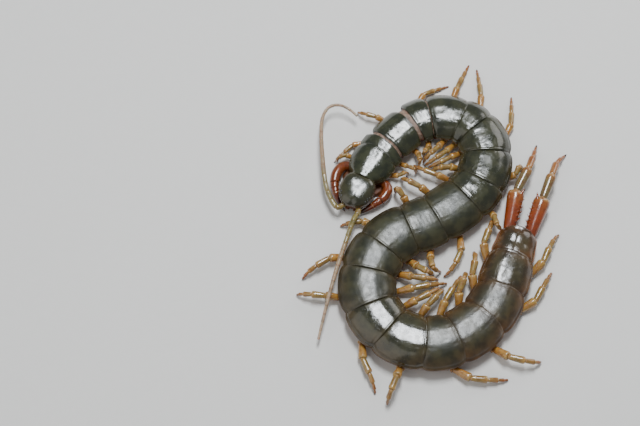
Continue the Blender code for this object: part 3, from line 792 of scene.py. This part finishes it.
def article(shape, line, radii, across, sides, marks=(0, 0, 0), profile=ARTICLE_PROFILE, flat=1, slot=0):
    """One article of a limb along a line of points, with the joint skin before it."""
    t, share, hard = np.array(profile).T
    centres = spread_along(line, t)
    along = unit(spread_along(line, t + 0.02) - spread_along(line, t - 0.02))
    wide = unit(across - along * (along @ across)[:, None])
    over = np.cross(wide, along)
    radius = (radii[0] + (radii[1] - radii[0]) * np.clip(t, 0, 1)) * share
    turns = 2 * math.pi * (np.arange(sides) + 0.5)[:, None] / sides
    ring = wide[:, None] * np.cos(turns) + over[:, None] * np.sin(turns) * flat
    points = centres[:, None] + ring * radius[:, None, None]
    begin, stop, tone = marks
    # Mask at each article's end for the paler joint colour, which is partly a painted highlight.
    rim = bell(t, 0.95, 0.035) * hard
    layer = stacked(begin + (stop - begin) * np.clip(t, 0, 1), rim, tone)
    shape.grid(points, layer[:, None], np.where(np.minimum(hard[1:], hard[:-1]) > 0, slot, 1))


def spine(shape, base, direction, length, radius, slot, marks=0, lean=None):
    """Small pointed spine, bent towards lean."""
    direction = unit(direction)
    across = unit(np.cross(direction, UP if abs(direction[2]) < 0.9 else np.array((1.0, 0.0, 0.0))))
    ring = circle(10, across, np.cross(across, direction)) * radius
    rings = []
    for t, share in SPINE_PROFILE:
        middle = base + direction * length * t
        if lean is not None:
            middle += lean * length * 0.3 * max(t, 0) ** 2
        rings.append(middle + ring * share)
    shape.grid(np.array(rings), marks, slot)


def swung(s, side, swing):
    """Level direction turned from straight outward towards the head."""
    turn = math.radians(swing)
    return outward(s, side) * math.cos(turn) - backward(s) * math.sin(turn)


def leg_curve(hip, start, foot, bulge, rise):
    """Points of the arch from hip to foot, drawn up by rise and bulging beyond the foot."""
    t = np.linspace(0, 1, 41)[:, None]
    span = foot - hip
    first = hip + start * (KNEE_START * np.linalg.norm(span)) + rise
    second = foot + unit(span) * bulge + rise * KNEE_END_LIFT
    return hip * (1 - t) ** 3 + first * 3 * (1 - t) ** 2 * t + second * 3 * (1 - t) * t * t + foot * t ** 3


def leg_joints(number, side):
    """Joints of a walking leg from root to claw tip, its radius and the normal of the flank."""
    swing, reach, highest, lean = LEG_POSES[number - 1][side < 0]
    s = STARTS[number - 1] + sum(LIMB_STRETCH) / 2 * (STARTS[number] - STARTS[number - 1])
    on_wall, normal = wall(number, side, LIMB_STRETCH)
    root = on_wall + normal * GAP
    radius = between(LEG_RADII, number)
    foot = root + swung(s, side, swing) * reach
    foot[2] = radius * ARTICLES[-1][2]
    start = swung(s, side, swing * HIP_SWING)
    margin = size_at(s)[0] * (1 - (WALL_TOP[0] + WALL_FOOT[0]) / 2)
    hip = root + start * ((margin + radius + HIP_CLEARANCE) / math.cos(math.radians(swing * HIP_SWING)))
    span = np.linalg.norm(foot - hip)
    bulge = max(0, BULGE_SPAN - span) * highest / KNEE_LIMIT
    room = (KNEE_SPAN_SHARE * span + KNEE_BULGE_SHARE * bulge) ** 2 / (KNEE_TIGHTNESS * radius)
    length = between(LEG_LENGTHS, number) - np.linalg.norm(hip - root)
    up = UP + unit(np.cross(UP, foot - hip)) * math.tan(math.radians(lean))
    low, high = 0, min(highest, room)
    for _ in range(20):
        middle = (low + high) / 2
        arch = leg_curve(hip, start, foot, bulge, up * middle)
        if reach_of(arch)[-1] < length:
            low = middle
        else:
            high = middle
    path = np.concatenate((root[None], leg_curve(hip, start, foot, bulge, up * high)))
    ends = running([row[0] for row in ARTICLES])
    return spread_along(path, ends / ends[-1]), radius, normal


def make_leg(number, side):
    """Walking leg: seven articles with spurs, the last one a claw."""
    joints, radius, normal = leg_joints(number, side)
    if (number, side) not in CLOSE_LEGS:
        radius *= LEG_FULLNESS
    node = f"leg_{number:02d}_{SIDES[side]}"
    luck = np.random.default_rng(1000 + 2 * number + (side > 0))
    tone = luck.uniform(0, 0.6)
    across = unit(np.cross(joints[3] - joints[0], UP))
    shape = Shape()
    begin = 0
    for k, (share, near, far) in enumerate(ARTICLES):
        line = joints[k:k + 2].copy()
        stop = begin + share
        radii = (radius * near, radius * far)
        if k == 0:
            line[0] -= normal * 0.9
            radii = (radius * 1.25, radius * 1.05)
        if k == 1:
            waist = line[0] + (line[1] - line[0]) * 0.1
            middle = begin + 0.04
            article(shape, np.array((line[0], waist)), (radius * 0.92, radius * 0.97), across, 18,
                    (begin, middle, tone))
            line[0] = waist
            begin = middle
        along = unit(line[1] - line[0])
        if k == len(ARTICLES) - 1:
            claw = (radius * 0.24, radius * 0.24)
            article(shape, line, claw, across, 12, profile=CLAW_PROFILE, slot=2)
            base = line[0] + (line[1] - line[0]) * 0.1
            for turn in (1, -1):
                tip = along + across * turn * 0.55 - UP * 0.25
                spine(shape, base, tip, 0.45, 0.06 * radius + 0.03, 2)
        else:
            article(shape, line, radii, across, 18, (begin, stop, tone))
        if k in SPUR_ARTICLES:
            low = np.cross(along, across)
            low *= -np.sign(low[2])
            base = line[0] + (line[1] - line[0]) * 0.93 + low * radius * far * 0.95
            spine(shape, base, along + low * 0.7, 0.55 * radius, 0.13 * radius, 2)
        begin = stop
    shape.make(node + "_limb", ["leg", "joint", "claw"], [node])


def make_tail_leg(side):
    """Leg of the last pair: stout spiny prefemur, then ever thinner articles."""
    node = f"ultimate_leg_{SIDES[side]}"
    luck = np.random.default_rng(70 + side)
    point = place(TAIL_END + GAP / 2, side * TAIL_ROOT[0], TAIL_ROOT[1])
    heading = np.interp(TAIL_END, LINE_S, LINE_HEADING)
    across = outward(TAIL_END, side)
    total = sum(row[0] for row in TAIL_ARTICLES)
    shape = Shape()
    begin = 0
    stub = np.array((point - backward(TAIL_END) * 2.2, point + backward(TAIL_END) * 0.4))
    article(shape, stub, (1.5, 1.5), across, 28, (0, 0.05, 0))
    for k, (bend, slope) in enumerate(zip(TAIL_BENDS[side], TAIL_SLOPES)):
        length, near, far = TAIL_ARTICLES[k]
        heading += math.radians(bend)
        along = unit(np.array((math.cos(heading), math.sin(heading), math.tan(math.radians(slope)))))
        line = np.array((point, point + along * length))
        stop = begin + length / total
        if k == len(TAIL_ARTICLES) - 1:
            article(shape, line, (0.34, 0.34), across, 14, profile=CLAW_PROFILE, slot=2)
        else:
            article(shape, line, (near, far), across, 28, (begin, stop, 0), flat=0.88)
        if k == 0:
            wide = unit(across - along * (along @ across))
            over = np.cross(wide, along)
            over *= np.sign(over[2])
            for row, (turn, count) in enumerate(TAIL_SPINES):
                for i in range(count):
                    t = 0.24 + 0.62 * (i + 0.5 * (row % 2)) / count + luck.uniform(-0.02, 0.02)
                    angle = math.radians(turn + luck.uniform(-5, 5))
                    away = -wide * math.cos(angle) + over * math.sin(angle)
                    base = point + along * length * t + away * (near + (far - near) * t) * 0.9
                    spine(shape, base, away + along * 0.3, 0.8, 0.3, 0, (0.12, 0, 0), along)
            corner = -wide * math.cos(0.7) + over * math.sin(0.7)
            base = point + along * length * 0.93 + corner * far * 0.8
            spine(shape, base, along + corner * 0.5, 1.9, 0.55, 0, (0.25, 0, 0))
            for turn in (-1, 0, 1):
                tip = base + (along + corner * 0.5) * 1.1 + wide * turn * 0.2
                spine(shape, tip, along + corner * 0.7 - wide * turn * 0.6, 0.55, 0.14, 2)
        point = line[1]
        begin = stop
    shape.make(node + "_limb", ["tail", "joint", "claw"], [node])


def make_coxopleura():
    """Lobes beside the last sternite, each drawn out to a spiny point."""
    shape = Shape()
    for side in SIDES:
        ring = circle(22, outward(TAIL_END, side), UP)
        rings = [place(TAIL_END + s, side * offset, z) + ring * radius
                 for s, offset, z, radius in COXOPLEURA_RINGS]
        shape.grid(np.array(rings), (0.1, 0, 0))
        for offset, z in ((2.75, 1.5), (2.4, 1.1), (3, 1)):
            spine(shape, place(TAIL_END + 1.7, side * offset, z), backward(TAIL_END), 0.7, 0.15, 1)
    shape.make("coxopleura", ["tail", "claw"])


def make_feeler(side, path):
    """Feeler: glossy bare articles at the root, then velvety ones."""
    inner, outer = [place(s, side * offset, FEELER_HEIGHT) for s, offset, _ in MOUTH_SECTIONS[:2]]
    normal = unit(np.cross(outer - inner, UP * side))
    brow = np.array((*START, 0.0))
    points = [(inner + outer) / 2 + normal * GAP]
    for ahead, offset, z in path:
        points.append(brow - backward(0) * ahead + outward(0, side) * offset + UP * z)
    fine = smooth_path(points)
    shape = Shape()
    across = unit(np.cross(fine[1] - fine[0], UP))
    near, far = FEELER_RADII
    for k in range(FEELER_ARTICLES):
        begin, stop = k / FEELER_ARTICLES, (k + 1) / FEELER_ARTICLES
        line = spread_along(fine, np.linspace(begin, stop, 5))
        if k == 0:
            line[0] -= normal
        radii = [near + (far - near) * (k + j) / FEELER_ARTICLES for j in (0.6, 1.2)]
        along = unit(line[-1] - line[0])
        across = unit(across - along * (along @ across))
        slot = 0 if k < BARE_ARTICLES else 2
        article(shape, line, radii, across, 16, (begin, stop, 0), FEELER_PROFILE, slot=slot)
    shape.make(f"feeler_{SIDES[side]}", ["feeler", "joint", "velvet"], [f"antenna_{SIDES[side]}"])


def make_forcipule(side):
    """Venom fang: long base, two short rings and a curved claw with a black tip."""
    root, normal = wall(1, side, FANG_STRETCH)
    points = [root - normal * 0.6] + [place(s, side * offset, z) for s, offset, z, _ in FANG_PATH]
    fine = smooth_path(points)
    radius_rows = [FANG_ROOT_RADIUS] + [row[3] for row in FANG_PATH]
    chords = reach_of(points)
    shape = Shape()
    for k, (begin, stop) in enumerate(zip(FANG_ENDS, FANG_ENDS[1:])):
        line = spread_along(fine, np.linspace(begin, stop, 16))
        near, far = np.interp((begin, stop), chords / chords[-1], radius_rows)
        if k == 3:
            t = np.linspace(0, 1, 18)
            inside = np.interp(begin + (stop - begin) * t, chords / chords[-1], radius_rows) / near
            profile = [(-0.05, 0.6, 0), (-0.01, 0.85, 0), (0, 0.9, 0)]
            profile += [(a + 0.02 * (1 - a), b * min(1, 12 * (1 - a) + 0.05), 1) for a, b in zip(t, inside)]
            far = near
        elif k == 0:
            t = np.linspace(0.08, 0.9, 14)
            inside = np.interp(t * stop, chords / chords[-1], radius_rows) / near
            profile = [(0, 0.8, 1)] + [(a, b, 1) for a, b in zip(t, inside)]
            profile += [(0.95, far / near * 1.05, 1), (0.985, far / near * 0.98, 1), (0.97, 0.8, 1)]
            far = near
        else:
            profile = FEELER_PROFILE
        article(shape, line, (near, far), UP, 26, (begin, stop, 0), profile)
    inward = -outward(6, side)
    at = spread_along(fine, np.array((0.4,)))[0]
    spine(shape, at + inward * 1.2, inward - backward(5) * 0.9, 1.5, 0.5, 2)
    node = f"forcipule_{SIDES[side]}"
    shape.make(node + "_fang", ["fang", "joint", "claw"], [node])


# Head


def dome(rho, angle):
    """Point of the head plate: rho is the share of the way to its rim, angle is from the front."""
    ahead, across = np.cos(angle), np.sin(angle)
    reach = np.where(ahead > 0, 6.1, 5.2)
    power = np.where(ahead > 0, 2.2, 3.3)
    size = (np.abs(ahead / reach) ** power + np.abs(across / 5.5) ** power) ** (-1 / power)
    size *= 1 - 0.05 * bell(np.arctan2(across, ahead), 0, 0.16)
    s = 5.9 - rho * size * ahead
    offset = rho * size * across
    fall = 2.6 + 3.4 * (0.5 - 0.5 * ahead) ** 2
    rise = np.sqrt(np.clip(1 - rho ** fall, 0, 1))
    margin = 5.1 - 0.03 * s
    z = margin + 2.65 * rise
    z -= 0.04 * bell(offset, 0, 0.3) * (1 - ease(s, 1, 3.5)) * rise
    return s, offset, z


def make_head_plate():
    """Round plate over the head, with a rolled rim."""
    rho = np.sin(np.linspace(0.03, math.pi / 2, 34))
    angle = np.linspace(0, 2 * math.pi, 129)[:-1]
    top = place(*dome(rho[:, None], angle[None]))
    top[..., 2] += 0.015 * ripple(top, 3, 5) * (1 - rho[:, None] ** 6)
    rings = [top]
    rim = dome(np.ones((1, 1)), angle[None])[2]
    for share, drop in HEAD_RIM:
        s, offset, _ = dome(np.full((1, 1), share), angle[None])
        rings.append(place(s, offset, rim - drop))
    across = np.concatenate((rho, np.ones(len(HEAD_RIM))))[:, None]
    shape = Shape()
    shape.grid(np.concatenate(rings), stacked(0.5, across, 0.1))
    shape.make("head_plate", ["plate"], ["head"])


def make_ocelli():
    """Four simple eyes at each side of the head plate."""
    shape = Shape()
    for share, degrees in OCELLI:
        for side in SIDES:
            centre = place(*dome(np.array(share), np.array(math.radians(degrees) * side)))
            out = unit(outward(3, side) * 0.8 - backward(3) * 0.3 + UP * 0.9)
            level = unit(np.cross(out, backward(3)))
            ring = circle(20, level, np.cross(level, out)) * 0.33
            rings = [centre + ring * math.cos(lift) + out * (0.24 * math.sin(lift) - 0.02)
                     for lift in np.linspace(-0.35, math.pi / 2 - 0.02, 9)]
            shape.grid(np.array(rings))
    shape.make("ocelli", ["eye"])


def make_mouthparts():
    """Soft block of mouthparts under the head plate, with a pair of palps."""
    s = np.linspace(0.25, 12.4, 40)
    jaw = curve(MOUTH_SECTIONS, s, 1) + 0.9 * bell(s, 5.5, 3)
    under = curve(MOUTH_SECTIONS, s, 2)
    turns = 2 * math.pi * (np.arange(48) + 0.5) / 48
    box = np.abs(np.cos(turns)) ** 0.7 * np.sign(np.cos(turns))
    tall = np.abs(np.sin(turns)) ** 0.7 * np.sign(np.sin(turns))
    middle, half = (MOUTH_TOP + under) / 2, (MOUTH_TOP - under) / 2
    points = place(s[:, None], box * jaw[:, None], middle[:, None] + tall * half[:, None])
    core = place(s[:, None], 0, 3.5)
    points += 0.05 * ripple(points, 1.8, 9)[..., None] * unit(points - core)
    shape = Shape()
    shape.grid(points)
    for side in SIDES:
        palp = smooth_path([place(s, side * offset, z) for s, offset, z in PALP_PATH])
        for k, (begin, stop) in enumerate(((0, 0.42), (0.42, 0.72), (0.72, 1))):
            line = spread_along(palp, np.linspace(begin, stop, 6))
            article(shape, line, (0.85 - 0.14 * k, 0.78 - 0.14 * k), UP, 18)
    shape.make("mouthparts", ["mouth", "joint"])


def make_coxosternite():
    """Plate under the fangs, with small teeth along its front."""
    shape = Shape()
    share = np.linspace(0, 1, 30)[:, None]
    across = np.linspace(-1, 1, 41)[None]
    s = 3.6 + share * 10
    width = curve(((0, 2.3), (0.12, 2.9), (0.4, 4.6), (0.75, 6.4), (1, 5.8)), share)
    notch = 0.7 * bell(across, 0, 0.12) * (1 - ease(share, 0, 0.25))
    z = 1.55 - 0.35 * across ** 2 - 0.1 * bell(across, 0, 0.04)
    shape.shell(place(s + notch, across * width, z), 1.15)
    for side in SIDES:
        for i in range(5):
            base = place(3.75 - 0.1 * math.sin(i * 0.8), side * (0.45 + 0.42 * i), 1)
            spine(shape, base, -backward(3), 0.62 - 0.05 * i, 0.22, 1)
    shape.make("forcipule_coxosternite", ["mouth", "claw"])


# Stage


def aimed(name, data, position, away):
    """Lamp or camera at a position in millimetres, looking back along away."""
    item = linked(name, data)
    item.location = Vector(position) * MM
    item.rotation_mode = "QUATERNION"
    item.rotation_quaternion = Vector(away).to_track_quat("Z", "Y")
    return item


def make_stage():
    """Pale floor, soft lights and the camera at the photo's angle."""
    mesh = bpy.data.meshes.new("floor")
    corners = np.array(((-1, -1, 0), (1, -1, 0), (1, 1, 0), (-1, 1, 0))) * FLOOR_REACH - UP * FLOOR_DROP
    mesh.from_pydata(corners.tolist(), [], [(0, 1, 2, 3)])
    paper = plain_material("floor_paper", (0.66, 0.65, 0.63), (0.7, 0.69, 0.67), (0.75, 0.9), 3, 3)
    mesh.materials.append(paper)
    floor = linked("floor", mesh)

    for name, position, size, power, colour in LIGHTS:
        data = bpy.data.lights.new(name, "AREA")
        data.shape = "RECTANGLE"
        data.size, data.size_y = size[0] * MM, size[1] * MM
        data.energy = power
        data.color = colour
        aimed(name, data, position, position)
    world = bpy.data.worlds.new("studio")
    world.use_nodes = True
    sky = world.node_tree.nodes["Background"]
    sky.inputs["Color"].default_value = SKY
    sky.inputs["Strength"].default_value = SKY_STRENGTH
    bpy.context.scene.world = world

    data = bpy.data.cameras.new("camera")
    data.lens = LENS
    data.sensor_width = 36
    data.clip_start = 0.01
    data.clip_end = 10
    tilt = math.radians(CAMERA_ELEVATION)
    back = Vector((0, -math.cos(tilt), math.sin(tilt)))
    position = Vector((*AIM, 0)) + back * CAMERA_DISTANCE
    bpy.context.scene.camera = aimed("camera", data, position, back)
    bpy.context.scene.view_settings.view_transform = "AgX"


def main():
    """The whole animal, then the stage."""
    owners = []
    for name, lengths, _ in TRUNK:
        owners += [[name]] + [[]] * (len(lengths) - 1)
    for number, nodes in enumerate(owners, 1):
        make_tergite(number, nodes)
    make_skin()
    make_sternites()
    make_spiracles()
    make_head_plate()
    make_ocelli()
    make_mouthparts()
    make_coxosternite()
    for side, path in ((1, FEELER_LEFT), (-1, FEELER_RIGHT)):
        make_feeler(side, path)
        make_forcipule(side)
        make_tail_leg(side)
    make_coxopleura()
    for number in range(1, len(LEG_POSES) + 1):
        for side in SIDES:
            make_leg(number, side)
    make_stage()


main()
